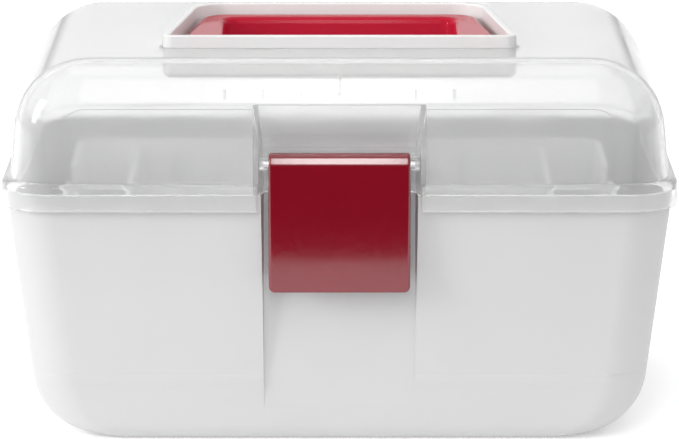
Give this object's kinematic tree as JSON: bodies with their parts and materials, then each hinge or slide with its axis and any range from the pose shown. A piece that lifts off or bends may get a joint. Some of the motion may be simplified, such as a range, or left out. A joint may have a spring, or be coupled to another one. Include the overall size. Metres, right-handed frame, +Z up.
{
  "type": "sewing box with trays",
  "caption": "Rectangular plastic sewing box with a hinged clear domed lid, fold-down handle, snap latch and lift-out divided trays.",
  "frame": {"origin": "centre of the flat face that the box stands on", "axes": "+X along the box's length to the right seen from the front, the front with the latch faces -Y, +Z up"},
  "size_m": [0.2714, 0.1921, 0.16],
  "materials": {
    "milky_base": "satin milky translucent polypropylene",
    "clear_lid": "clear gloss moulded plastic, faintly frosted",
    "frosted_well": "frosted translucent plastic",
    "red_gloss": "gloss translucent crimson plastic",
    "frosted_tray": "frosted translucent plastic",
    "divider_plastic": "frosted translucent sheet",
    "steel_pin": "drawn steel wire"
  },
  "bodies": {
    "base": {"base_shell": "milky_base"},
    "lid": {"lid_shell": "clear_lid", "handle_well": "frosted_well", "handle_pin_left": "steel_pin", "handle_pin_right": "steel_pin", "latch_pin": "steel_pin", "hinge_pin_left": "steel_pin", "hinge_pin_right": "steel_pin"},
    "handle": {"handle": "red_gloss"},
    "latch": {"latch": "red_gloss"},
    "lower_tray": {"lower_tray": "frosted_tray", "lower_divider_left": "divider_plastic", "lower_divider_right": "divider_plastic"},
    "upper_tray": {"upper_tray": "frosted_tray", "upper_divider_long": "divider_plastic", "upper_divider_left_end": "divider_plastic", "upper_divider_right_end": "divider_plastic", "upper_divider_front_left": "divider_plastic", "upper_divider_front_right": "divider_plastic", "upper_divider_rear": "divider_plastic"}
  },
  "joints": [
    {"name": "lid_hinge", "type": "hinge", "parent": "base", "child": "lid", "pos_m": [0, 0.0955, 0.096], "axis": [-1, 0, 0], "range_deg": [0, 105]},
    {"name": "latch_pivot", "type": "hinge", "parent": "lid", "child": "latch", "pos_m": [0, -0.089, 0.1149], "axis": [-1, 0, 0], "range_deg": [0, 80]},
    {"name": "handle_pivot", "type": "hinge", "parent": "lid", "child": "handle", "pos_m": [0, -0.037, 0.15125], "axis": [1, 0, 0], "range_deg": [0, 95]},
    {"name": "lower_tray_lift", "type": "slide", "parent": "base", "child": "lower_tray", "axis": [0, 0, 1], "range_m": [0, 0.02]},
    {"name": "upper_tray_lift", "type": "slide", "parent": "lower_tray", "child": "upper_tray", "axis": [0, 0, 1], "range_m": [0, 0.026]}
  ]
}
